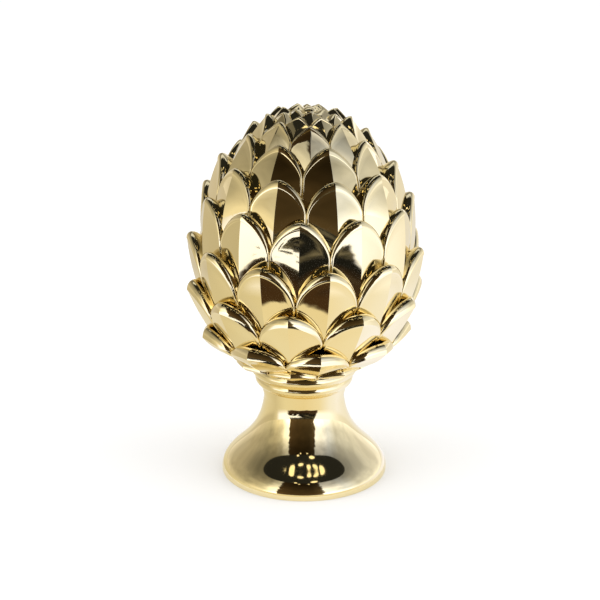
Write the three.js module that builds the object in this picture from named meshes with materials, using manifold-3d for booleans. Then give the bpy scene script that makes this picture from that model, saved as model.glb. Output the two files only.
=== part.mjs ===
// Pinecone finial: a cone of overlapping keeled scales on a turned pedestal, cast as one piece.
// Millimetres, +Z up. The origin is the centre of the flat underside.

import * as THREE from 'three';
import { mergeVertices } from 'three/addons/utils/BufferGeometryUtils.js';
import Module from 'manifold-3d';

// Pedestal
const footRadius = 46.3; // widest part of the foot
const footRimHeight = 1; // height of that widest part above the underside
const undersideRadius = 46; // flat disc that the object stands on
const neckRadius = 22.3; // narrowest part
const neckHeight = 45;
const flareTopReach = 29; // how far the flare stays slim below the neck
const flareTopSpread = 2.2; // how much it widens on that stretch, which makes the crease at the neck
const flareFootReach = 13; // how far it stays steep above the foot

// Collar under the cone: a plain band, then ring beads
const bandRadius = 23.8; // at the band's top
const bandHeight = 6;
const collarRadius = 29; // at the collar's top
const beadCount = 2;
const beadHeight = 6.5;
const beadProud = 1.5;
const beadSteps = 4; // facets over one bead
const spineSwell = 0.64; // bow of the line that carries the beads: 0.5 is straight
const collarHeight = neckHeight + bandHeight + beadCount * beadHeight;

// Cone
const coneHeight = 146; // collar top to apex
const coneRadius = 67; // axis to the farthest scale tip
const rowTiltDeg = 2.3; // the rows sit a little higher on the left
const tiltGrowth = 0.4; // share of coneHeight over which that tilt grows from nothing
const axisLeanDeg = 1; // the cone leans a little to the right
const budRadius = 4;
const budHeight = 6;

// Scales
const valleyRimShare = 0.4; // a lip's rounded edge is narrower at the valleys, by this share
const valleyLedgeSlope = 0.15; // rise of the ledge behind a lip at its valleys, per unit inward
const tipLedgeSlope = -0.35; // the same at its tip, where the ledge falls away
const seamShare = 0.35; // how deep the seam between two scales is at the foot, as a share of the ledge
const footSetIn = 1.8; // a row starts this far inside the valleys of the row below
const buriedDepth = 4; // how far a row runs on, unseen, below those valleys

// Rows from the collar to the apex. height and reach are shares of coneHeight and coneRadius,
// arch is the rise of a lip from its valleys to its tip, point its shape (2 is an ellipse, less is
// more pointed), rim the width of its rounded edge and ledge the depth of the ledge at the tip.
const rows = [
  {
    count: 9, height: 0.06, reach: 0.66, turnDeg: -10,
    arch: 3, point: 1.9, rim: 1.8, ledge: 5, bulge: 4.5, strips: 6,
  },
  {
    count: 9, height: 0.157, reach: 0.9, turnDeg: 8.4,
    arch: 7.5, point: 1.9, rim: 3.2, ledge: 7, bulge: 3.8, strips: 6,
  },
  {
    count: 10, height: 0.325, reach: 1, turnDeg: -8.3,
    arch: 16, point: 1.8, rim: 3.4, ledge: 7, bulge: 1.2, strips: 6,
  },
  {
    count: 11, height: 0.505, reach: 0.98, turnDeg: 10.8,
    arch: 21, point: 1.8, rim: 2.8, ledge: 7, bulge: 2, strips: 8,
  },
  {
    count: 11, height: 0.678, reach: 0.87, turnDeg: -4,
    arch: 19, point: 1.7, rim: 2.6, ledge: 7, bulge: 2, strips: 8,
  },
  {
    count: 10, height: 0.803, reach: 0.715, turnDeg: -19,
    arch: 15.5, point: 1.7, rim: 2.4, ledge: 6.5, bulge: 2, strips: 6,
  },
  {
    count: 8, height: 0.902, reach: 0.505, turnDeg: -27,
    arch: 13.8, point: 1.6, rim: 2, ledge: 5, bulge: 2, strips: 6,
  },
  {
    count: 8, height: 0.966, reach: 0.34, turnDeg: 2,
    arch: 8.8, point: 1.4, rim: 1.3, ledge: 4, bulge: 1, strips: 4,
  },
  {
    count: 8, height: 0.985, reach: 0.225, turnDeg: 24.5,
    arch: 5, point: 1.4, rim: 0.8, ledge: 3, bulge: 0.5, strips: 4,
  },
  {
    count: 5, height: 0.993, reach: 0.12, turnDeg: 10,
    arch: 2.5, point: 1.4, rim: 0.6, ledge: 2, bulge: 0.3, strips: 4,
  },
];

const tiltAt = (z) => {
  const share = THREE.MathUtils.clamp((z - collarHeight) / (coneHeight * tiltGrowth), 0, 1);
  return Math.tan(THREE.MathUtils.degToRad(rowTiltDeg)) * share;
};
const axisLean = Math.tan(THREE.MathUtils.degToRad(axisLeanDeg));

// Facets of the turned parts and of the bud
const turnedSides = 36;
const flareSteps = 10;
const rimSteps = 3;
const mergeDistance = 1e-4;
const budSides = 10;
const budRings = 6;

const gold = new THREE.MeshStandardMaterial({ color: 0xd9c58e, roughness: 0.06, metalness: 1 });

const wasm = await Module();
wasm.setup();

function toSolid(geometry) {
  const bare = geometry.clone();
  bare.deleteAttribute('normal');
  bare.deleteAttribute('uv');
  const merged = mergeVertices(bare, mergeDistance);
  return new wasm.Manifold(new wasm.Mesh({
    numProp: 3,
    vertProperties: new Float32Array(merged.attributes.position.array),
    triVerts: new Uint32Array(merged.index.array),
  }));
}

function toGeometry(solid) {
  const mesh = solid.getMesh();
  const geometry = new THREE.BufferGeometry();
  geometry.setAttribute('position', new THREE.BufferAttribute(mesh.vertProperties, 3));
  geometry.setIndex(new THREE.BufferAttribute(mesh.triVerts, 1));
  geometry.computeVertexNormals();
  return geometry;
}

function lathe(profile) {
  const geometry = new THREE.LatheGeometry(profile, turnedSides);
  geometry.rotateX(Math.PI / 2);
  return toSolid(geometry);
}

// Foot, flare, neck, band and beads, with a stub that runs up into the cone
function pedestal() {
  const flare = new THREE.CubicBezierCurve(
    new THREE.Vector2(footRadius, footRimHeight),
    new THREE.Vector2(footRadius, footRimHeight + flareFootReach),
    new THREE.Vector2(neckRadius + flareTopSpread, neckHeight - flareTopReach),
    new THREE.Vector2(neckRadius, neckHeight),
  );
  const bandTop = neckHeight + bandHeight;
  const spine = new THREE.QuadraticBezierCurve(
    new THREE.Vector2(bandRadius, bandTop),
    new THREE.Vector2(bandRadius + (collarRadius - bandRadius) * spineSwell, (bandTop + collarHeight) / 2),
    new THREE.Vector2(collarRadius, collarHeight),
  );
  const rim = new THREE.QuadraticBezierCurve(
    new THREE.Vector2(undersideRadius, 0),
    new THREE.Vector2(footRadius, 0),
    new THREE.Vector2(footRadius, footRimHeight),
  );
  const flarePoints = flare.getPoints(flareSteps).slice(1);
  const profile = [new THREE.Vector2(0, 0), ...rim.getPoints(rimSteps), ...flarePoints];
  const steps = beadCount * beadSteps;
  for (let i = 0; i <= steps; i += 1) {
    const point = spine.getPoint(i / steps);
    const wave = Math.abs(Math.sin(Math.PI * i / beadSteps));
    profile.push(new THREE.Vector2(point.x + beadProud * wave, point.y));
  }
  profile.push(new THREE.Vector2(0, collarHeight + buriedDepth));
  return lathe(profile);
}

// One row of scales as a disc: its edge carries the faces, the lips and the ledge behind them
function scaleRow(row, below) {
  const tipHeight = collarHeight + coneHeight * row.height;
  const tipRadius = coneRadius * row.reach;
  const valleyHeight = tipHeight - row.arch;
  const footHeight = below.valleyHeight;
  const startRadius = below.valleyRadius - footSetIn;
  const halfPitch = Math.PI / row.count;

  const keelRadius = (z) => {
    const t = (z - footHeight) / (tipHeight - footHeight);
    return THREE.MathUtils.lerp(startRadius, tipRadius, t) + 4 * row.bulge * t * (1 - t);
  };
  const seamRadius = (z) => {
    const depth = row.ledge * seamShare * (valleyHeight - z) / (valleyHeight - footHeight);
    return keelRadius(z) * Math.cos(halfPitch) - Math.max(0, depth);
  };
  // A point of the flat facet between keel and seam: side -1 and 1 are the seams, 0 the keel
  const facet = (turn, side, z, inward) => {
    const seamTurn = Math.sign(side) * halfPitch;
    const keel = new THREE.Vector2(keelRadius(z), 0);
    const seam = new THREE.Vector2(Math.cos(seamTurn), Math.sin(seamTurn)).multiplyScalar(seamRadius(z));
    const flat = keel.lerp(seam, Math.abs(side));
    const radius = Math.max(0, flat.length() - inward);
    const angle = turn + flat.angle();
    return [radius * Math.sin(angle), -radius * Math.cos(angle)];
  };

  const positions = [];
  const addPoint = (x, y, z) => positions.push(x + axisLean * (z - collarHeight), y, z - tiltAt(z) * x);
  const columns = row.count * row.strips;
  let loopLength = 0;
  for (let i = 0; i < columns; i += 1) {
    const turn = THREE.MathUtils.degToRad(row.turnDeg) + 2 * halfPitch * Math.floor(i / row.strips);
    const side = Math.sin(Math.PI * ((i % row.strips) / row.strips - 0.5));
    const rise = (1 - Math.abs(side) ** row.point) ** (1 / row.point);
    const lip = valleyHeight + row.arch * rise;
    const rim = row.rim * THREE.MathUtils.lerp(valleyRimShare, 1, rise);
    const middle = (footHeight + valleyHeight - rim) / 2;
    const ledgeEnd = row.ledge + footSetIn;
    const slope = THREE.MathUtils.lerp(valleyLedgeSlope, tipLedgeSlope, rise);
    // Height of each point of the section, the height that its facet is read at, and how far in it lies
    const loop = [
      [footHeight - buriedDepth, footHeight, buriedDepth],
      [footHeight, footHeight, 0],
      [middle, middle, 0],
      [lip - rim, lip - rim, 0],
      [lip, lip, rim],
      [lip + slope * ledgeEnd, lip, ledgeEnd],
    ];
    for (const [z, facetHeight, inward] of loop) {
      addPoint(...facet(turn, side, facetHeight, inward), z);
    }
    loopLength = loop.length;
  }
  const bottomCentre = positions.length / 3;
  const topCentre = bottomCentre + 1;
  addPoint(0, 0, footHeight - buriedDepth);
  addPoint(0, 0, tipHeight + tipLedgeSlope * row.ledge);

  const index = [];
  for (let i = 0; i < columns; i += 1) {
    const a = i * loopLength;
    const b = ((i + 1) % columns) * loopLength;
    for (let k = 0; k < loopLength - 1; k += 1) {
      index.push(a + k, b + k, b + k + 1);
      index.push(a + k, b + k + 1, a + k + 1);
    }
    index.push(bottomCentre, b, a);
    index.push(topCentre, a + loopLength - 1, b + loopLength - 1);
  }
  const geometry = new THREE.BufferGeometry();
  geometry.setAttribute('position', new THREE.Float32BufferAttribute(positions, 3));
  geometry.setIndex(index);
  return { solid: toSolid(geometry), valleyHeight, valleyRadius: seamRadius(valleyHeight) };
}

function bud() {
  const geometry = new THREE.SphereGeometry(1, budSides, budRings);
  geometry.rotateX(Math.PI / 2);
  geometry.scale(budRadius, budRadius, budHeight / 2);
  geometry.translate(axisLean * (coneHeight - budHeight / 2), 0, collarHeight + coneHeight - budHeight / 2);
  return toSolid(geometry);
}

function finial() {
  let solid = pedestal().add(bud());
  let below = { valleyHeight: collarHeight, valleyRadius: collarRadius };
  for (const row of rows) {
    below = scaleRow(row, below);
    solid = solid.add(below.solid);
  }
  const mesh = new THREE.Mesh(toGeometry(solid), gold);
  mesh.name = 'pinecone_finial';
  return mesh;
}

const model = new THREE.Group();
model.add(finial());

export default model;
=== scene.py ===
# Pinecone finial: a polished pale-gold casting on a pale floor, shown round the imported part.
import math

import bmesh
import bpy
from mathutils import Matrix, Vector


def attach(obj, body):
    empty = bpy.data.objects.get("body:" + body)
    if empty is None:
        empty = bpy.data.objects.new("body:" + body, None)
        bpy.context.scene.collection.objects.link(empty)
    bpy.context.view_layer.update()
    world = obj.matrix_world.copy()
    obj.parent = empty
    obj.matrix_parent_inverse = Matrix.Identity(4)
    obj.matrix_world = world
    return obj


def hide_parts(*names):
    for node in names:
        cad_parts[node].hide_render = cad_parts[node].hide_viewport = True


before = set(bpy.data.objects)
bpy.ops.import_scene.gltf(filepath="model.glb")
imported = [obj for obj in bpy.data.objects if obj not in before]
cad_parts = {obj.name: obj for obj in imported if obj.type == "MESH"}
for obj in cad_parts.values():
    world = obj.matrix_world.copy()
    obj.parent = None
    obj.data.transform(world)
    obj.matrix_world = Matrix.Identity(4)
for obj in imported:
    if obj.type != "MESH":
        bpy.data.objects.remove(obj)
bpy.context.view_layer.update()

mm = 0.001


def bezier(points, steps):
    line = []
    for i in range(steps + 1):
        t = i / steps
        row = [Vector(p) for p in points]
        while len(row) > 1:
            row = [a.lerp(b, t) for a, b in zip(row, row[1:])]
        line.append(tuple(row[0]))
    return line


def addMesh(name, verts, faces, material):
    mesh = bpy.data.meshes.new(name)
    mesh.from_pydata(verts, [], faces)
    mesh.materials.append(material)
    thing = bpy.data.objects.new(name, mesh)
    bpy.context.collection.objects.link(thing)
    return thing


def makeObject(name, verts, faces):
    # a closed solid, with its faces turned outward
    mesh = bpy.data.meshes.new(name)
    mesh.from_pydata(verts, [], faces)
    bm = bmesh.new()
    bm.from_mesh(mesh)
    bmesh.ops.remove_doubles(bm, verts=bm.verts, dist=1e-7)
    bmesh.ops.recalc_face_normals(bm, faces=bm.faces)
    if bm.calc_volume(signed=True) < 0:
        bmesh.ops.reverse_faces(bm, faces=bm.faces)
    openEdges = sum(1 for edge in bm.edges if len(edge.link_faces) != 2)
    bm.to_mesh(mesh)
    bm.free()
    thing = bpy.data.objects.new(name, mesh)
    bpy.context.collection.objects.link(thing)
    if openEdges:
        print(name, "has", openEdges, "open edges of", len(mesh.edges))
    return thing


def spin(name, profile, sides):
    # profile runs from the axis to the axis; its end points close on one vertex each
    verts = []
    faces = []
    inner = profile[1:-1]
    for i in range(sides):
        angle = 2 * math.pi * i / sides
        for radius, z in inner:
            verts.append((radius * math.sin(angle) * mm, -radius * math.cos(angle) * mm, z * mm))
    low = len(verts)
    verts += [(0, 0, profile[0][1] * mm), (0, 0, profile[-1][1] * mm)]
    count = len(inner)
    for i in range(sides):
        a = i * count
        b = (i + 1) % sides * count
        for k in range(count - 1):
            faces.append((a + k, b + k, b + k + 1, a + k + 1))
        faces.append((low, b, a))
        faces.append((low + 1, a + count - 1, b + count - 1))
    return makeObject(name, verts, faces)


# the turned foot, neck and collar, in mm, as in the part
pedestal = {
    "footRadius": 46.3,
    "footRimHeight": 1.0,
    "undersideRadius": 46.0,
    "neckRadius": 22.3,
    "neckHeight": 45.0,
    "flareTopReach": 29.0,
    "flareTopSpread": 2.2, # how much the flare widens there, which makes the crease
    "flareFootReach": 13.0,
    "bandRadius": 23.8,
    "bandHeight": 6.0,
    "collarRadius": 29.0,
    "beadCount": 2,
    "beadHeight": 6.5,
    "beadProud": 1.5,
    "spineSwell": 0.64,
    "sides": 160,
    "rimSteps": 8,
    "flareSteps": 48,
    "beadSteps": 14,
}


def makePedestal(p):
    bandTop = p["neckHeight"] + p["bandHeight"]
    collarHeight = bandTop + p["beadCount"] * p["beadHeight"]
    rim = bezier([
        (p["undersideRadius"], 0),
        (p["footRadius"], 0),
        (p["footRadius"], p["footRimHeight"]),
    ], p["rimSteps"])
    flare = bezier([
        (p["footRadius"], p["footRimHeight"]),
        (p["footRadius"], p["footRimHeight"] + p["flareFootReach"]),
        (p["neckRadius"] + p["flareTopSpread"], p["neckHeight"] - p["flareTopReach"]),
        (p["neckRadius"], p["neckHeight"]),
    ], p["flareSteps"])
    swell = p["bandRadius"] + (p["collarRadius"] - p["bandRadius"]) * p["spineSwell"]
    spine = bezier([
        (p["bandRadius"], bandTop),
        (swell, (bandTop + collarHeight) / 2),
        (p["collarRadius"], collarHeight),
    ], p["beadCount"] * p["beadSteps"])
    profile = [(0, 0)] + rim + flare[1:]
    for i, (radius, z) in enumerate(spine):
        profile.append((radius + p["beadProud"] * abs(math.sin(math.pi * i / p["beadSteps"])), z))
    profile.append((0, collarHeight + cone["buriedDepth"]))
    return spin("turnedFoot", profile, p["sides"]), collarHeight


# the cone of scales, in mm and degrees; height and reach are shares of the cone's own size
cone = {
    "height": 146.0,
    "radius": 67.0,
    "rowTiltDeg": 2.3,     # the rows sit a little higher on the left
    "tiltGrowth": 0.4,     # share of the height over which that tilt grows
    "axisLeanDeg": 1.0,    # the cone leans a little to the right
    "budRadius": 4.0,
    "budHeight": 6.0,
    "budSides": 32,
    "budSteps": 16,
    "valleyLedgeSlope": 0.15,  # rise of the ledge behind a lip at its valleys, per unit inward
    "tipLedgeSlope": -0.35,    # the same at its tip, where the ledge falls away
    "ledgeCurve": 1.5,     # power of that rise or fall: over 1 it comes late
    "seamShare": 0.35,     # depth of the seam at its foot, as a share of the row's ledge
    "footSetIn": 1.8,
    "buriedDepth": 4.0,
    "valleyRimShare": 0.4, # a rolled edge narrows to this share of its width at the valleys
    "seamRimShare": 0.3,   # and to this one at the foot of a seam
    "rimProud": 0.3,       # how far the rolled edge stands out of the face
    "blendWidth": 0.35,    # width of the hollow inside a rolled edge, as a share of the edge's
    "leastInset": 0.3,     # an edge point keeps this share of its way out from the keel
    "facetSwell": 0.3,     # how far a facet bows out halfway between keel and seam
    "swellWidth": 15.0,    # facets narrower than this bow less
    "tipTrim": 0.2,        # tip radii are this much less than the solid's, to stay in its box
    "keelRound": 0.02,     # softness of the keel, as a share of half a scale
    "fineReach": 0.4,      # rows that reach further than this get more steps
    "creaseDeg": 28.0,     # edges sharper than this stay crisp
    # arch is how high a tip stands over the valleys, and a point below 2 makes it pointed;
    # bulge is how far a face bows out, roll how far a rolled edge stands above its lip at the tip
    "rows": [
        {"count": 9, "height": 0.06, "reach": 0.66, "turnDeg": -10,
         "arch": 3, "point": 1.9, "rim": 1.8, "ledge": 5, "bulge": 4.5, "roll": 1.0},
        {"count": 9, "height": 0.157, "reach": 0.9, "turnDeg": 8.4,
         "arch": 7.5, "point": 1.9, "rim": 3.2, "ledge": 7, "bulge": 3.8, "roll": 3.0},
        {"count": 10, "height": 0.325, "reach": 1, "turnDeg": -8.3,
         "arch": 16, "point": 1.8, "rim": 3.4, "ledge": 7, "bulge": 1.2, "roll": 2.2},
        {"count": 11, "height": 0.505, "reach": 0.98, "turnDeg": 10.8,
         "arch": 21, "point": 1.8, "rim": 2.8, "ledge": 7, "bulge": 2, "roll": 0.8},
        {"count": 11, "height": 0.678, "reach": 0.87, "turnDeg": -4,
         "arch": 19, "point": 1.7, "rim": 2.6, "ledge": 7, "bulge": 2, "roll": 0.6},
        {"count": 10, "height": 0.803, "reach": 0.715, "turnDeg": -19,
         "arch": 15.5, "point": 1.7, "rim": 2.4, "ledge": 6.5, "bulge": 2, "roll": 1.2},
        {"count": 8, "height": 0.902, "reach": 0.505, "turnDeg": -27,
         "arch": 13.8, "point": 1.6, "rim": 2, "ledge": 5, "bulge": 2, "roll": 1.2},
        {"count": 8, "height": 0.966, "reach": 0.34, "turnDeg": 2,
         "arch": 8.8, "point": 1.4, "rim": 1.3, "ledge": 4, "bulge": 1, "roll": 0.6},
        {"count": 8, "height": 0.985, "reach": 0.225, "turnDeg": 24.5,
         "arch": 5, "point": 1.4, "rim": 0.8, "ledge": 3, "bulge": 0.5, "roll": 0.3},
        {"count": 5, "height": 0.993, "reach": 0.12, "turnDeg": 10,
         "arch": 2.5, "point": 1.4, "rim": 0.6, "ledge": 2, "bulge": 0.3, "roll": 0.2},
    ],
}


def lean(x, y, z, collarHeight):
    share = min(1.0, max(0.0, (z - collarHeight) / (cone["height"] * cone["tiltGrowth"])))
    tilt = math.tan(math.radians(cone["rowTiltDeg"])) * share
    shift = math.tan(math.radians(cone["axisLeanDeg"])) * (z - collarHeight)
    return ((x + shift) * mm, y * mm, (z - tilt * x) * mm)


class ScaleShape:
    # one row's faces: side -1 and 1 are the seams to the neighbours, 0 the keel
    def __init__(self, row, below, collarHeight):
        self.row = row
        self.tip = collarHeight + cone["height"] * row["height"]
        self.tipRadius = cone["radius"] * row["reach"] - cone["tipTrim"]
        self.valley = self.tip - row["arch"]
        self.foot = below["height"]
        self.startRadius = below["radius"] - cone["footSetIn"]
        self.half = math.pi / row["count"]
        self.collarHeight = collarHeight
        seam = self.seamRadius(self.valley)
        keel = self.keelRadius(self.valley)
        self.width = math.hypot(keel - seam * math.cos(self.half), seam * math.sin(self.half))
        slope = (self.keelRadius(self.tip) - keel) / row["arch"]
        self.squash = 1 / math.hypot(1, slope)

    def keelRadius(self, z):
        t = (z - self.foot) / (self.tip - self.foot)
        bow = 4 * self.row["bulge"] * t * (1 - t)
        return self.startRadius + (self.tipRadius - self.startRadius) * t + bow

    def seamRadius(self, z):
        depth = self.row["ledge"] * cone["seamShare"] * (self.valley - z) / (self.valley - self.foot)
        return self.keelRadius(z) * math.cos(self.half) - max(0.0, depth)

    def point(self, turn, side, z, faceZ, inward):
        # the face is read at faceZ and the point put at z, so that a rim can leave the face
        soft = cone["keelRound"]
        share = (math.hypot(side, soft) - soft) / (math.hypot(1, soft) - soft)
        keel = Vector((self.keelRadius(faceZ), 0))
        seam = self.seamRadius(faceZ)
        seamAside = math.copysign(seam * math.sin(self.half), side)
        flat = keel.lerp(Vector((seam * math.cos(self.half), seamAside)), share)
        narrow = min(1.0, self.width / cone["swellWidth"])
        swell = 4 * cone["facetSwell"] * share * (1 - share) * narrow
        radius = max(0.0, flat.length + swell - inward)
        angle = turn + math.atan2(flat.y, flat.x)
        return lean(radius * math.sin(angle), -radius * math.cos(angle), z, self.collarHeight)


def lipSteps(fine):
    # angles over the arch, closer together at the keel so that its soft edge is caught
    near = [0.0, 1.0, 2.5, 5.0, 9.0] if fine else [0.0, 2.0, 6.0]
    far = [15, 22, 30, 38, 46, 54, 62, 70, 77, 84, 90] if fine else [16, 28, 42, 56, 70, 81, 90]
    half = near + far
    return [-a for a in reversed(half[1:])] + half


# points of the ledge behind a rolled edge, as shares of its depth
ledgeShares = (0.08, 0.18, 0.32, 0.5, 0.74, 1.0)
ledgeSteps = len(ledgeShares)


def makeScaleRow(index, row, below, collarHeight):
    shape = ScaleShape(row, below, collarHeight)
    fine = row["reach"] > cone["fineReach"]
    angles = lipSteps(fine)
    sideSteps = 8 if fine else 5
    rimSteps = 5
    blendSteps = 3
    archLength = row["arch"] / shape.squash
    power = row["point"]

    # outline of one scale: up the left seam, over the lip, down the right seam
    outline = []
    for j in range(sideSteps):
        outline.append((-1.0, j / sideSteps, -1.0, 0.0))
    for degrees in angles:
        s = math.sin(math.radians(degrees))
        c = max(0.0, math.cos(math.radians(degrees)))
        side = math.copysign(abs(s) ** (2 / power), s)
        up = c ** (2 / power)
        sideways = math.copysign(abs(side) ** (power - 1), s) / shape.width
        normal = Vector((sideways, up ** (power - 1) / archLength))
        normal.normalize()
        outline.append((side, 1 + up, normal.x, normal.y))
    for j in range(sideSteps - 1, -1, -1):
        outline.append((1.0, j / sideSteps, 1.0, 0.0))
    first = sideSteps
    last = sideSteps + len(angles) - 1

    def bandPoint(step, across):
        # side, height, height that the facet is read at, and how far in the point lies
        side, level, nx, ny = outline[step]
        if level > 1:
            share = cone["valleyRimShare"] + (1 - cone["valleyRimShare"]) * (level - 1)
        else:
            share = cone["seamRimShare"] + (cone["valleyRimShare"] - cone["seamRimShare"]) * level
        width = row["rim"] * share
        if across <= rimSteps:
            beta = math.pi / 2 * across / rimSteps
            depth = width * (1 - math.cos(beta))
            inward = width * (1 - math.sin(beta))
        else:
            beta = math.pi * (across - rimSteps) / blendSteps
            depth = width * (1 + cone["blendWidth"] * (across - rimSteps) / blendSteps)
            inward = cone["rimProud"] * share * (1 - math.cos(beta)) / 2
        if level <= 1:
            z = shape.foot + (shape.valley - shape.foot) * level
        else:
            z = shape.valley + row["arch"] * (level - 1)
        faceZ = z - ny * max(depth, width) * shape.squash
        rolled = z - ny * depth * shape.squash
        if across < rimSteps:
            rolled += row["roll"] * max(0.0, level - 1) * math.cos(beta)
        inset = max(cone["leastInset"] * abs(side), abs(side) - abs(nx) * depth / shape.width)
        return math.copysign(inset, side), rolled, faceZ, inward

    verts = []
    faces = []
    turns = [math.radians(row["turnDeg"]) + 2 * shape.half * i for i in range(row["count"])]
    for turn in turns:
        grid = {}

        def put(key, side, z, faceZ, inward):
            grid[key] = len(verts)
            verts.append(shape.point(turn, side, z, faceZ, inward))

        bands = rimSteps + blendSteps
        for step in range(len(outline)):
            for across in range(bands + 1):
                put(("band", step, across), *bandPoint(step, across))
        for step in range(len(outline) - 1):
            for across in range(bands):
                faces.append(tuple(grid["band", s, k] for s, k in (
                    (step, across), (step, across + 1), (step + 1, across + 1), (step + 1, across))))
        # the face inside the rolled edge
        for column in range(first, last + 1):
            for level in range(sideSteps + 1):
                if level == 0:
                    grid["face", column, level] = grid["band", column, bands]
                elif column == first:
                    grid["face", column, level] = grid["band", first - level, bands]
                elif column == last:
                    grid["face", column, level] = grid["band", last + level, bands]
                else:
                    side, z, *_, inward = bandPoint(column, bands)
                    z += (shape.foot - z) * level / sideSteps
                    put(("face", column, level), side, z, z, inward)
        for column in range(first, last):
            for level in range(sideSteps):
                faces.append(tuple(grid["face", c, k] for c, k in (
                    (column, level), (column, level + 1), (column + 1, level + 1), (column + 1, level))))
        # the ledge behind the rolled edge, running in to the axis
        ledgeEnd = row["ledge"] + cone["footSetIn"]
        for column in range(first, last + 1):
            side, lip, faceZ, rim = bandPoint(column, 0)
            grid["ledge", column, 0] = grid["band", column, 0]
            arched = max(0.0, outline[column][1] - 1)
            slope = cone["valleyLedgeSlope"] + (cone["tipLedgeSlope"] - cone["valleyLedgeSlope"]) * arched
            roll = row["roll"] * arched
            for k, share in enumerate(ledgeShares, 1):
                rise = slope * ledgeEnd * share ** cone["ledgeCurve"]
                rise -= roll * (1 - math.cos(math.pi / 2 * share))
                put(("ledge", column, k), side, lip + rise, faceZ, rim + (ledgeEnd - rim) * share)
        for column in range(first, last):
            for k in range(ledgeSteps):
                faces.append(tuple(grid["ledge", c, j] for c, j in (
                    (column, k), (column + 1, k), (column + 1, k + 1), (column, k + 1))))
        top = len(verts)
        verts.append(lean(0, 0, shape.tip + cone["tipLedgeSlope"] * row["ledge"], collarHeight))
        for column in range(first, last):
            faces.append((grid["ledge", column, ledgeSteps], grid["ledge", column + 1, ledgeSteps], top))
        # the buried foot
        ring = [("band", 0, k) for k in range(bands + 1)]
        ring += [("face", c, sideSteps) for c in range(first + 1, last)]
        ring += [("band", len(outline) - 1, k) for k in range(bands, -1, -1)]
        buried = shape.foot - cone["buriedDepth"]
        bottom = len(verts)
        verts.append(lean(0, 0, buried, collarHeight))
        for k, (part, step, across) in enumerate(ring):
            side, *_, inward = bandPoint(step, bands if part == "face" else across)
            put(("foot", k), side, buried, shape.foot, inward + cone["buriedDepth"])
        for k in range(len(ring) - 1):
            faces.append((grid[ring[k]], grid["foot", k], grid["foot", k + 1], grid[ring[k + 1]]))
            faces.append((grid["foot", k], bottom, grid["foot", k + 1]))
    scales = makeObject("scaleRow%02d" % index, verts, faces)
    return scales, {"height": shape.valley, "radius": shape.seamRadius(shape.valley)}


def makeBud(collarHeight):
    steps = cone["budSteps"]
    top = collarHeight + cone["height"]
    middle = top - cone["budHeight"] / 2
    profile = []
    for i in range(steps + 1):
        angle = math.pi * i / steps - math.pi / 2
        z = middle + cone["budHeight"] / 2 * math.sin(angle)
        profile.append((cone["budRadius"] * math.cos(angle), z))
    profile[0] = (0, middle - cone["budHeight"] / 2)
    profile[-1] = (0, top)
    budPiece = spin("apexBud", profile, cone["budSides"])
    shift = math.tan(math.radians(cone["axisLeanDeg"])) * (middle - collarHeight)
    for vertex in budPiece.data.vertices:
        vertex.co.x += shift * mm
    return budPiece


def fuse(base, others):
    for other in others:
        join = base.modifiers.new("join", "BOOLEAN")
        join.operation = "UNION"
        join.solver = "MANIFOLD"
        join.object = other
        graph = bpy.context.evaluated_depsgraph_get()
        fused = bpy.data.meshes.new_from_object(base.evaluated_get(graph))
        base.modifiers.clear()
        old = base.data
        base.data = fused
        bpy.data.meshes.remove(old)
        bpy.data.objects.remove(other)
    return base


def makeCasting():
    base, collarHeight = makePedestal(pedestal)
    rows = []
    below = {"height": collarHeight, "radius": pedestal["collarRadius"]}
    for index, row in enumerate(cone["rows"], 1):
        thing, below = makeScaleRow(index, row, below, collarHeight)
        rows.append(thing)
    casting = fuse(base, rows + [makeBud(collarHeight)])
    casting.name = casting.data.name = "finialCasting"
    mesh = casting.data
    for polygon in mesh.polygons:
        polygon.use_smooth = True
    mesh.set_sharp_from_angle(angle=math.radians(cone["creaseDeg"]))
    return casting


# the plating
plating = {
    "paleGold": (0.91, 0.785, 0.48, 1.0),
    "deepGold": (0.89, 0.75, 0.42, 1.0),
    "toneSize": 22.0,      # scale of the change between the two golds
    "toneDetail": 3.0,
    "toneFrom": 0.35,
    "toneTo": 0.65,
    "roughLow": 0.035,
    "roughHigh": 0.075,
    "hazeSize": 90.0,      # scale of the change between the two roughnesses
    "hazeDetail": 4.0,
    "waveSize": 60.0,      # scale of the slow unevenness of the surface
    "waveDetail": 1.0,
    "waveHeight": 0.00005,
}


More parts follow.
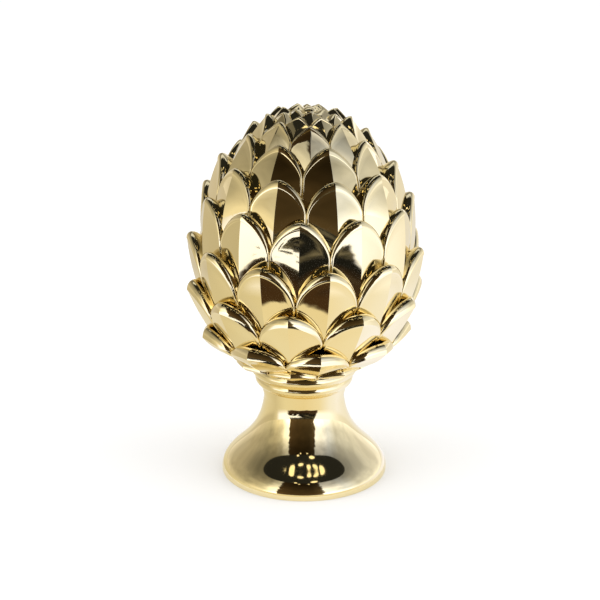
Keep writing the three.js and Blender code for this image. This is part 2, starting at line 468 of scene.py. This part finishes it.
def makePlating(p):
    material = bpy.data.materials.new("palePlatedGold")
    material.use_nodes = True
    nodes = material.node_tree.nodes
    links = material.node_tree.links
    shader = nodes["Principled BSDF"]
    shader.inputs["Metallic"].default_value = 1.0
    place = nodes.new("ShaderNodeTexCoord")
    tone = nodes.new("ShaderNodeTexNoise")
    tone.inputs["Scale"].default_value = p["toneSize"]
    tone.inputs["Detail"].default_value = p["toneDetail"]
    colours = nodes.new("ShaderNodeValToRGB")
    colours.color_ramp.elements[0].position = p["toneFrom"]
    colours.color_ramp.elements[0].color = p["deepGold"]
    colours.color_ramp.elements[1].position = p["toneTo"]
    colours.color_ramp.elements[1].color = p["paleGold"]
    links.new(place.outputs["Object"], tone.inputs["Vector"])
    links.new(tone.outputs["Fac"], colours.inputs["Fac"])
    links.new(colours.outputs["Color"], shader.inputs["Base Color"])
    haze = nodes.new("ShaderNodeTexNoise")
    haze.inputs["Scale"].default_value = p["hazeSize"]
    haze.inputs["Detail"].default_value = p["hazeDetail"]
    spread = nodes.new("ShaderNodeMapRange")
    spread.inputs["To Min"].default_value = p["roughLow"]
    spread.inputs["To Max"].default_value = p["roughHigh"]
    links.new(place.outputs["Object"], haze.inputs["Vector"])
    links.new(haze.outputs["Fac"], spread.inputs["Value"])
    links.new(spread.outputs["Result"], shader.inputs["Roughness"])
    wave = nodes.new("ShaderNodeTexNoise")
    wave.inputs["Scale"].default_value = p["waveSize"]
    wave.inputs["Detail"].default_value = p["waveDetail"]
    bump = nodes.new("ShaderNodeBump")
    bump.inputs["Distance"].default_value = p["waveHeight"]
    links.new(place.outputs["Object"], wave.inputs["Vector"])
    links.new(wave.outputs["Fac"], bump.inputs["Height"])
    links.new(bump.outputs["Normal"], shader.inputs["Normal"])
    return material


# floor, light and what the gold mirrors; azimuth 0 is towards the camera, plus is right
studio = {
    "floorReach": 5.0,
    "floorHole": 0.0455,
    "floorColour": (0.9, 0.9, 0.9, 1.0),
    "floorRoughness": 0.6,
    "worldStrength": 1.0,
    "lampWatts": 9.0,
    "lampPlaces": [(-1.25, -0.3, 1.2), (1.25, -0.3, 1.2)],
    "lampSize": 1.5,
    "wallReach": 1.7,
    "wallTop": 2.3,
    "wallTopDrop": 0.38,       # how much lower the ceiling comes at the sides
    "wallLight": 1.33,         # all of the wall's light is multiplied by this
    "wallPatches": (2.4, 2.0), # scale and detail of the wall's unevenness
    "wallPatchLow": 0.7,
    "wallPatchRise": 0.6,
    "wallTones": [             # azimuth and light of the wall all round
        (-170, (0.72, 0.69, 0.65)),
        (-125, (0.62, 0.57, 0.48)),
        (-88, (0.56, 0.52, 0.41)),
        (-68, (0.80, 0.73, 0.56)),
        (-56, (1.05, 1.0, 0.85)),
        (-48, (1.7, 1.65, 1.55)),
        (-38.5, (2.1, 2.1, 2.1)),
        (-37, (0.11, 0.07, 0.034)),
        (-14, (0.07, 0.045, 0.02)),
        (12, (0.065, 0.044, 0.021)),
        (26, (0.12, 0.085, 0.045)),
        (28, (1.9, 1.95, 2.3)),
        (44, (1.6, 1.65, 1.95)),
        (60, (1.15, 1.25, 1.6)),
        (80, (0.90, 0.92, 1.0)),
        (104, (0.98, 1.0, 1.08)),
        (135, (0.95, 0.95, 1.0)),
        (168, (1.1, 1.1, 1.15)),
    ],
    "wallHeights": [           # height and share of that light
        (0.0, 1.0),
        (0.12, 0.9),
        (0.35, 0.64),
        (0.8, 0.56),
        (1.15, 0.37),
        (1.6, 0.24),
        (2.2, 0.16),
    ],
    "tableTones": [            # azimuth and light of the pale table
        (-170, (0.86, 0.82, 0.72)),
        (-115, (0.82, 0.76, 0.60)),
        (-82, (0.72, 0.66, 0.50)),
        (-50, (0.90, 0.84, 0.66)),
        (0, (0.92, 0.83, 0.62)),
        (40, (0.98, 0.92, 0.78)),
        (70, (1.05, 1.08, 1.25)),
        (100, (1.08, 1.12, 1.4)),
        (135, (0.98, 0.98, 1.0)),
    ],
    "floorTones": [            # the same for the floor beyond it
        (-170, (0.74, 0.70, 0.62)),
        (-125, (0.64, 0.58, 0.47)),
        (-88, (0.60, 0.55, 0.42)),
        (-76, (0.82, 0.76, 0.60)),
        (-68, (1.3, 1.35, 1.7)),
        (-54, (1.4, 1.45, 1.9)),
        (-38.5, (1.45, 1.5, 1.8)),
        (28, (1.5, 1.55, 1.9)),
        (70, (1.35, 1.4, 1.7)),
        (104, (1.0, 1.0, 1.05)),
        (135, (0.90, 0.88, 0.86)),
    ],
    "cardInner": 0.05,         # the cards on the floor start this far from the axis
    "litLift": 0.002,          # and lie this far over it
    "unlitLift": 0.003,
    "tableReach": 0.25,        # the pale table ends this far from the axis
    "tableSoft": 0.05,
    "tableFront": 0.155,       # and this far in front of it, where the floor is unlit
    "frontSoft": 0.006,
    "borderWobble": 0.034,     # raggedness of the unlit side's borders, as a share of a turn
    "borderNoise": (4.0, 5.0), # scale and detail of it
    "tableWobble": 0.12,       # raggedness of the table's front edge, in metres
    "tableNoise": (13.0, 4.0),
    "darkStart": 0.05,         # the unlit floor is this much wider at each side than its slope
    "darkLeft": 0.72,          # its width to the left, per unit forward
    "darkRight": 0.48,
    "darkSoft": 0.01,
    "litPatchPlace": (-0.25, -0.48, 0.0),  # a lit patch of floor inside the unlit side, in metres
    "litPatchSize": 0.16,
    "litPatchSoft": 0.008,
    "litPatchRagged": 5.5,     # its border is this many times as ragged as the table's
    "brownDepth": 0.1,         # depth of the strip of painted brown shade in front of the table
    "brownSoft": 0.06,
    # painted shade that the unlit floor card glows with, seen in reflections alone: brown, then dark with
    # olive patches
    "shadePatches": (5.0, 3.0),
    "shadePatchFrom": 0.48,
    "shadePatchTo": 0.68,
    "shadeBrown": (0.06, 0.032, 0.014, 1.0),
    "shadeDark": (0.010, 0.010, 0.009, 1.0),
    "shadeOlive": (0.17, 0.15, 0.11, 1.0),
    "ceilingNoise": (1.6, 2.0),
    "ceilingWobble": 1.6,
    "ceilingDarkEnd": 0.6,     # dark up to this far behind the axis, pale from the next on
    "ceilingPaleStart": 0.75,
    "ceilingDark": (0.02, 0.02, 0.018, 1.0),
    "ceilingPale": (0.8, 0.82, 0.88, 1.0),
    "spotDrop": 0.3,           # how far the lamps hang below the wall's top
    "spotGlow": (1.5, 1.3, 0.85, 1.0),
    "spots": [                 # azimuth, reach, width and depth of the lamps overhead
        (-56, 1.02, 0.16, 0.06),
        (-33, 0.94, 0.12, 0.09),
        (-9, 0.98, 0.13, 0.05),
        (13, 0.92, 0.09, 0.06),
        (30, 0.98, 0.12, 0.05),
        (49, 1.02, 0.15, 0.08),
        (20, 1.35, 0.17, 0.10),
        (-16, 1.45, 0.08, 0.06),
        (-9, 1.6, 0.05, 0.05),
        (8, 1.6, 0.05, 0.05),
    ],
}


def plainMaterial(name, colour, roughness):
    material = bpy.data.materials.new(name)
    material.use_nodes = True
    shader = material.node_tree.nodes["Principled BSDF"]
    shader.inputs["Base Color"].default_value = colour
    shader.inputs["Roughness"].default_value = roughness
    shader.inputs["Specular IOR Level"].default_value = 0.0
    return material


def glowMaterial(name, colour):
    material = bpy.data.materials.new(name)
    material.use_nodes = True
    nodes = material.node_tree.nodes
    nodes.clear()
    glow = nodes.new("ShaderNodeEmission")
    glow.inputs["Color"].default_value = (*colour[:3], 1.0)
    out = nodes.new("ShaderNodeOutputMaterial")
    material.node_tree.links.new(glow.outputs["Emission"], out.inputs["Surface"])
    return material


def calc(nodes, links, kind, *terms):
    # one maths node of the kind named; its terms are sockets or plain values
    step = nodes.new("ShaderNodeMath")
    step.operation = kind
    for index, value in enumerate(terms):
        if isinstance(value, (int, float)):
            step.inputs[index].default_value = value
        else:
            links.new(value, step.inputs[index])
    return step.outputs["Value"]


def noiseOf(nodes, links, place, grain):
    scale, detail = grain
    noise = nodes.new("ShaderNodeTexNoise")
    noise.inputs["Scale"].default_value = scale
    noise.inputs["Detail"].default_value = detail
    links.new(place, noise.inputs["Vector"])
    return noise.outputs["Fac"]


def rampOf(nodes, links, value, stops):
    ramp = nodes.new("ShaderNodeValToRGB")
    tones = ramp.color_ramp
    while len(tones.elements) > 1:
        tones.elements.remove(tones.elements[0])
    tones.elements[0].position = stops[0][0]
    tones.elements[0].color = (*stops[0][1][:3], 1.0)
    for position, colour in stops[1:]:
        tones.elements.new(position).color = (*colour[:3], 1.0)
    links.new(value, ramp.inputs["Fac"])
    return ramp.outputs["Color"]


def raggedOf(nodes, links, place, grain, wobble):
    # an unevenness about nought, as wide as the wobble
    noise = noiseOf(nodes, links, place, grain)
    return calc(nodes, links, "MULTIPLY_ADD", noise, wobble, -wobble / 2)


def angleOf(nodes, links, place):
    # azimuth as a share of a turn
    turn = nodes.new("ShaderNodeTexGradient")
    turn.gradient_type = "RADIAL"
    links.new(place, turn.inputs["Vector"])
    return turn.outputs["Fac"]


def turnStops(tones):
    # ramp stops for a list of azimuths and lights, scaled to a peak of one
    peak = max(max(colour) for azimuth, colour in tones)
    stops = []
    for azimuth, colour in tones:
        stops.append((((azimuth + 90) % 360) / 360, Vector(colour) / peak))
    stops.sort(key=lambda stop: stop[0])
    # the ramp doesn't close on itself, so both its ends get the tone that belongs between them
    (lowPlace, lowTone), (highPlace, highTone) = stops[0], stops[-1]
    seam = highTone.lerp(lowTone, (1 - highPlace) / (1 - highPlace + lowPlace))
    return [(0.0, seam)] + stops + [(1.0, seam)], peak


def wallMaterial(s):
    # light all round, soft but for the two borders of the unlit side, which are a little ragged
    material = glowMaterial("studioWallGlow", (1, 1, 1))
    nodes = material.node_tree.nodes
    links = material.node_tree.links
    place = nodes.new("ShaderNodeTexCoord").outputs["Object"]
    ragged = raggedOf(nodes, links, place, s["borderNoise"], s["borderWobble"])
    angle = calc(nodes, links, "ADD", angleOf(nodes, links, place), ragged)
    stops, peak = turnStops(s["wallTones"])
    links.new(rampOf(nodes, links, angle, stops), nodes["Emission"].inputs["Color"])
    parts = nodes.new("ShaderNodeSeparateXYZ")
    links.new(place, parts.inputs["Vector"])
    level = calc(nodes, links, "MULTIPLY", parts.outputs["Z"], 1 / s["wallTop"])
    shares = [(height / s["wallTop"], (share, share, share)) for height, share in s["wallHeights"]]
    light = peak * s["wallLight"]
    patches = noiseOf(nodes, links, place, s["wallPatches"])
    low, rise = s["wallPatchLow"] * light, s["wallPatchRise"] * light
    uneven = calc(nodes, links, "MULTIPLY_ADD", patches, rise, low)
    strength = calc(nodes, links, "MULTIPLY", rampOf(nodes, links, level, shares), uneven)
    links.new(strength, nodes["Emission"].inputs["Strength"])
    return material


def showBeyond(nodes, links, cover):
    # the glow where cover is one, nothing where it is nought
    clear = nodes.new("ShaderNodeBsdfTransparent")
    blend = nodes.new("ShaderNodeMixShader")
    links.new(cover, blend.inputs["Fac"])
    links.new(clear.outputs["BSDF"], blend.inputs[1])
    links.new(nodes["Emission"].outputs["Emission"], blend.inputs[2])
    links.new(blend.outputs["Shader"], nodes["Material Output"].inputs["Surface"])


def stepAt(start, width):
    return [(start - width, (0, 0, 0)), (start + width, (1, 1, 1))]


def litFloorMaterial(s):
    # the light of the table, then that of the floor beyond it
    material = glowMaterial("litFloorGlow", (1, 1, 1))
    nodes = material.node_tree.nodes
    links = material.node_tree.links
    place = nodes.new("ShaderNodeTexCoord").outputs["Object"]
    angle = angleOf(nodes, links, place)
    length = nodes.new("ShaderNodeVectorMath")
    length.operation = "LENGTH"
    links.new(place, length.inputs[0])
    beyond = rampOf(nodes, links, length.outputs["Value"], stepAt(s["tableReach"], s["tableSoft"]))
    glows = []
    for tones in (s["tableTones"], s["floorTones"]):
        stops, peak = turnStops(tones)
        glow = nodes.new("ShaderNodeEmission")
        glow.inputs["Strength"].default_value = peak
        links.new(rampOf(nodes, links, angle, stops), glow.inputs["Color"])
        glows.append(glow)
    blend = nodes.new("ShaderNodeMixShader")
    links.new(beyond, blend.inputs["Fac"])
    links.new(glows[0].outputs["Emission"], blend.inputs[1])
    links.new(glows[1].outputs["Emission"], blend.inputs[2])
    links.new(blend.outputs["Shader"], nodes["Material Output"].inputs["Surface"])
    return material


def unlitFloorShadeMaterial(s):
    # painted shade, seen in reflections alone: nothing over the table and in the lit patch, else brown and
    # then dark with olive patches
    material = glowMaterial("unlitFloorGlow", s["shadeDark"])
    nodes = material.node_tree.nodes
    links = material.node_tree.links
    place = nodes.new("ShaderNodeTexCoord").outputs["Object"]
    patches = noiseOf(nodes, links, place, s["shadePatches"])
    stops = [(s["shadePatchFrom"], s["shadeDark"]), (s["shadePatchTo"], s["shadeOlive"])]
    far = rampOf(nodes, links, patches, stops)
    parts = nodes.new("ShaderNodeSeparateXYZ")
    links.new(place, parts.inputs["Vector"])
    forward = calc(nodes, links, "MULTIPLY", parts.outputs["Y"], -1.0)
    ragged = raggedOf(nodes, links, place, s["tableNoise"], s["tableWobble"])
    reach = calc(nodes, links, "ADD", forward, ragged)
    tones = nodes.new("ShaderNodeMix")
    tones.data_type = "RGBA"
    colourSockets = [socket for socket in tones.inputs if socket.type == "RGBA"]
    colourSockets[0].default_value = s["shadeBrown"]
    links.new(far, colourSockets[1])
    brownEnd = stepAt(s["tableFront"] + s["brownDepth"], s["brownSoft"])
    links.new(rampOf(nodes, links, reach, brownEnd), tones.inputs["Factor"])
    result = [socket for socket in tones.outputs if socket.type == "RGBA"][0]
    links.new(result, nodes["Emission"].inputs["Color"])
    cover = rampOf(nodes, links, reach, stepAt(s["tableFront"], s["frontSoft"]))
    for side, slope in ((1.0, s["darkLeft"]), (-1.0, s["darkRight"])):
        edge = calc(nodes, links, "MULTIPLY_ADD", reach, slope, s["darkStart"])
        room = calc(nodes, links, "MULTIPLY_ADD", parts.outputs["X"], side, edge)
        inside = rampOf(nodes, links, room, stepAt(s["darkSoft"], s["darkSoft"]))
        cover = calc(nodes, links, "MULTIPLY", cover, inside)
    patch = nodes.new("ShaderNodeVectorMath")
    patch.operation = "DISTANCE"
    patch.inputs[1].default_value = s["litPatchPlace"]
    links.new(place, patch.inputs[0])
    away = calc(nodes, links, "MULTIPLY_ADD", ragged, s["litPatchRagged"], patch.outputs["Value"])
    outside = rampOf(nodes, links, away, stepAt(s["litPatchSize"], s["litPatchSoft"]))
    cover = calc(nodes, links, "MULTIPLY", cover, outside)
    showBeyond(nodes, links, cover)
    return material


def ceilingMaterial(s):
    # dark overhead and in front, pale far behind, with a ragged border
    material = glowMaterial("studioCeilingGlow", s["ceilingDark"])
    nodes = material.node_tree.nodes
    links = material.node_tree.links
    place = nodes.new("ShaderNodeTexCoord").outputs["Object"]
    parts = nodes.new("ShaderNodeSeparateXYZ")
    links.new(place, parts.inputs["Vector"])
    ragged = raggedOf(nodes, links, place, s["ceilingNoise"], s["ceilingWobble"])
    depth = calc(nodes, links, "ADD", parts.outputs["Y"], ragged)
    stops = [(s["ceilingDarkEnd"], s["ceilingDark"]), (s["ceilingPaleStart"], s["ceilingPale"])]
    links.new(rampOf(nodes, links, depth, stops), nodes["Emission"].inputs["Color"])
    return material


def hideFromCamera(card):
    # the card glows in reflections alone
    card.visible_camera = False
    card.visible_shadow = False
    card.visible_diffuse = False


def around(azimuth, reach, z):
    angle = math.radians(azimuth)
    return (reach * math.sin(angle), -reach * math.cos(angle), z)


def makePanel(name, rims, material):
    # a sheet all round between two rims, each a reach, a height and how far it drops at the sides
    steps = 120
    verts = []
    for i in range(steps + 1):
        azimuth = 360 * i / steps - 180
        for reach, z, drop in rims:
            verts.append(around(azimuth, reach, z - drop * math.sin(math.radians(azimuth)) ** 2))
    faces = [(2 * i, 2 * i + 2, 2 * i + 3, 2 * i + 1) for i in range(steps)]
    hideFromCamera(addMesh(name, verts, faces, material))


def makeSpot(name, azimuth, reach, z, wide, deep, material):
    corners = 24
    verts = []
    for i in range(corners):
        angle = 2 * math.pi * i / corners
        turn = azimuth + math.degrees(wide / reach) * math.cos(angle)
        verts.append(around(turn, reach + deep * math.sin(angle), z))
    hideFromCamera(addMesh(name, verts, [tuple(range(corners))], material))


# camera as fitted to the photograph, in mm and pixels of its 600 frame
photoView = {
    "distance": 1100.0,
    "height": 512.0,
    "pitchDeg": 20.523,
    "focalPixels": 2135.0,
    "framePixels": 600.0,
    "axisPixel": 304.4,
    "sensorWidth": 36.0,
    "clipStart": 0.05,
}


def makeCamera(v):
    lens = bpy.data.cameras.new("photoCamera")
    lens.sensor_width = v["sensorWidth"]
    lens.lens = lens.sensor_width * v["focalPixels"] / v["framePixels"]
    lens.clip_start = v["clipStart"]
    camera = bpy.data.objects.new("photoCamera", lens)
    sideways = (v["axisPixel"] - v["framePixels"] / 2) * v["distance"] / v["focalPixels"]
    camera.location = (-sideways * mm, -v["distance"] * mm, v["height"] * mm)
    camera.rotation_euler = (math.radians(90 - v["pitchDeg"]), 0, 0)
    bpy.context.collection.objects.link(camera)
    bpy.context.scene.camera = camera


def makeLamp(name, place, s):
    light = bpy.data.lights.new(name, "AREA")
    light.size = s["lampSize"]
    light.energy = s["lampWatts"]
    lamp = bpy.data.objects.new(name, light)
    lamp.location = place
    lamp.rotation_euler = (-Vector(place)).to_track_quat("-Z", "Y").to_euler()
    lamp.visible_glossy = False
    bpy.context.collection.objects.link(lamp)


def makeFloor(s):
    # open under the foot, so that the underside can be seen from below
    sides = 72
    verts = []
    faces = []
    for i in range(sides):
        azimuth = 360 * i / sides
        verts += [around(azimuth, s["floorHole"], 0), around(azimuth, s["floorReach"], 0)]
        j = (i + 1) % sides
        faces.append((2 * i, 2 * i + 1, 2 * j + 1, 2 * j))
    floor = addMesh("floor", verts, faces, plainMaterial("paleFloor", s["floorColour"], s["floorRoughness"]))


def makeStudio(s):
    makeFloor(s)
    inner, reach, top = s["cardInner"], s["wallReach"], s["wallTop"]
    topRim = (reach, top, s["wallTopDrop"])
    makePanel("studioWall", ((reach, 0.0, 0.0), topRim), wallMaterial(s))
    for name, lift, material in (
            ("litFloor", s["litLift"], litFloorMaterial(s)),
            ("unlitFloor", s["unlitLift"], unlitFloorShadeMaterial(s))):
        makePanel(name, ((inner, lift, 0.0), (reach, lift, 0.0)), material)
    makePanel("studioCeiling", ((0.0, top, 0.0), topRim), ceilingMaterial(s))
    spotGlow = glowMaterial("ceilingSpotGlow", s["spotGlow"])
    for index, (azimuth, away, wide, deep) in enumerate(s["spots"], 1):
        makeSpot("ceilingSpot%d" % index, azimuth, away, top - s["spotDrop"], wide, deep, spotGlow)
    world = bpy.data.worlds.new("paleRoom")
    world.use_nodes = True
    sky = world.node_tree.nodes["Background"]
    sky.inputs["Color"].default_value = (1.0, 1.0, 1.0, 1.0)
    sky.inputs["Strength"].default_value = s["worldStrength"]
    bpy.context.scene.world = world
    for index, place in enumerate(s["lampPlaces"], 1):
        makeLamp("lamp%d" % index, place, s)
    bpy.context.scene.view_settings.view_transform = "Standard"


makeCamera(photoView)
print("camera set")
finial = makeCasting()
print("casting fused:", len(finial.data.polygons), "faces")
finial.data.materials.clear()
finial.data.materials.append(makePlating(plating))
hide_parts("pinecone_finial")
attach(finial, "root")
print("plated")
makeStudio(studio)
print("studio set")
